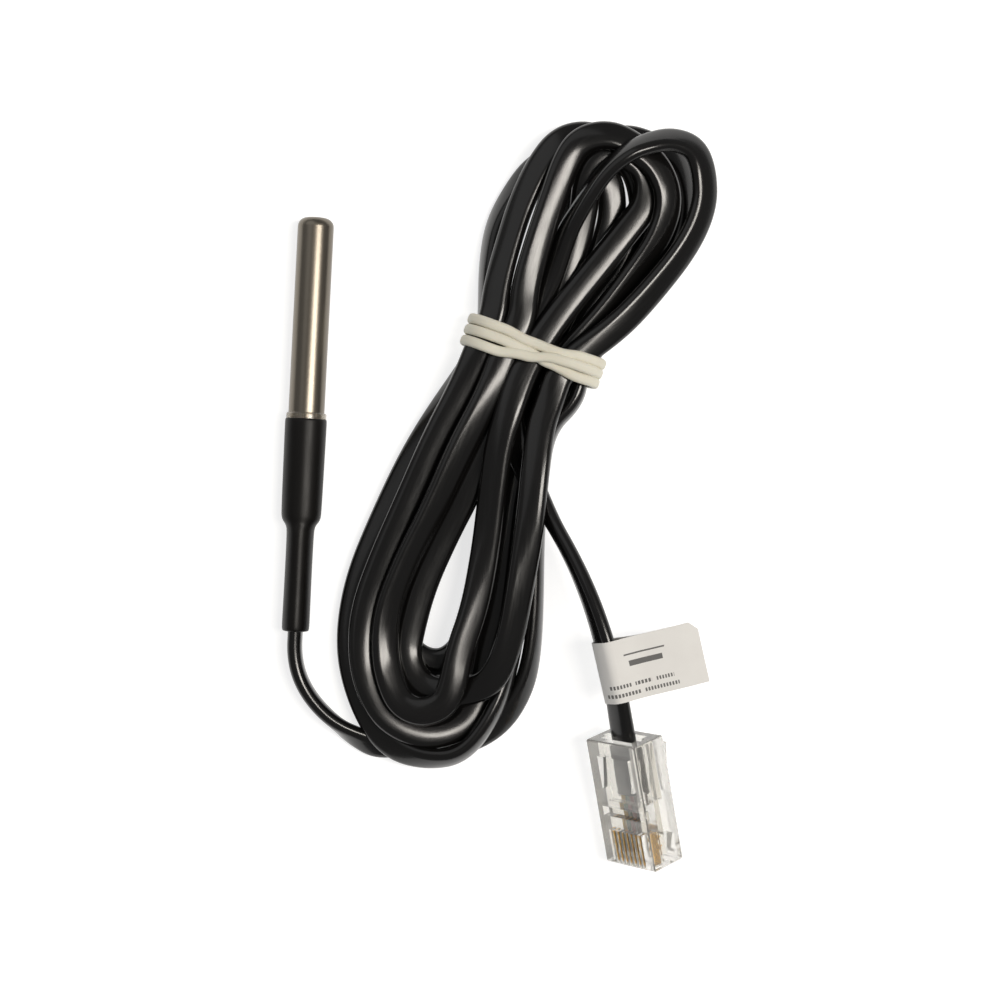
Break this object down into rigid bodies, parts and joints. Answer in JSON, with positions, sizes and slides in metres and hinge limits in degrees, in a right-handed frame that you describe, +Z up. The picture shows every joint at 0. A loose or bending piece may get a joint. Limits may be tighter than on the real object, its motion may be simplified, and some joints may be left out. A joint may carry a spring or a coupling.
{
  "type": "temperature probe",
  "caption": "Cylindrical stainless temperature probe with a heat-shrunk neck and a flat black cable, tied in a hank with a rubber band and ending in a clear modular plug.",
  "frame": {"origin": "middle of the footprint of the probe itself, tube and sleeve, on the table it lies on", "axes": "+Y along the probe to its closed tip, +Z up off the table, +X towards the tied cable"},
  "size_m": [0.0711, 0.1234, 0.0167],
  "materials": {
    "steel": "polished stainless with faint drawing marks",
    "chip_case": "matte moulding compound",
    "potting": "dull resin",
    "heat_shrink": "satin black polyolefin",
    "hot_melt": "glossy translucent adhesive",
    "tinned_metal": "bright tin",
    "joint_sleeve": "satin shrink sleeve",
    "core_1": "glossy insulation",
    "core_2": "glossy insulation",
    "core_3": "glossy insulation",
    "core_4": "glossy insulation",
    "copper": "bare bright copper",
    "cable_jacket": "glossy black soft plastic",
    "band_rubber": "dull cream rubber",
    "label_paper": "matte white paper",
    "clear_plastic": "clear moulded plastic",
    "gold_plate": "bright gold plate"
  },
  "bodies": {
    "root": {"probe_tube": "steel", "sensor_chip": "chip_case", "potting_compound": "potting", "heat_shrink_sleeve": "heat_shrink", "adhesive_ring": "hot_melt", "sensor_lead_1": "tinned_metal", "solder_joint_1": "tinned_metal", "joint_sleeve_1": "joint_sleeve", "sensor_lead_2": "tinned_metal", "solder_joint_2": "tinned_metal", "joint_sleeve_2": "joint_sleeve", "sensor_lead_3": "tinned_metal", "solder_joint_3": "tinned_metal", "joint_sleeve_3": "joint_sleeve", "probe_core_1": "core_1", "probe_conductor_1": "copper", "probe_core_2": "core_2", "probe_conductor_2": "copper", "probe_core_3": "core_3", "probe_conductor_3": "copper", "probe_core_4": "core_4", "probe_conductor_4": "copper", "cable_probe_lead": "cable_jacket", "cable_hank": "cable_jacket", "cable_plug_lead": "cable_jacket", "rubber_band": "band_rubber", "cable_label": "label_paper", "plug_housing": "clear_plastic", "plug_contact_1": "gold_plate", "plug_contact_2": "gold_plate", "plug_contact_3": "gold_plate", "plug_contact_4": "gold_plate", "plug_contact_5": "gold_plate", "plug_contact_6": "gold_plate", "plug_contact_7": "gold_plate", "plug_contact_8": "gold_plate", "plug_core_1": "core_1", "plug_conductor_1": "copper", "plug_core_2": "core_2", "plug_conductor_2": "copper", "plug_core_3": "core_3", "plug_conductor_3": "copper", "plug_core_4": "core_4", "plug_conductor_4": "copper"}
  },
  "joints": []
}
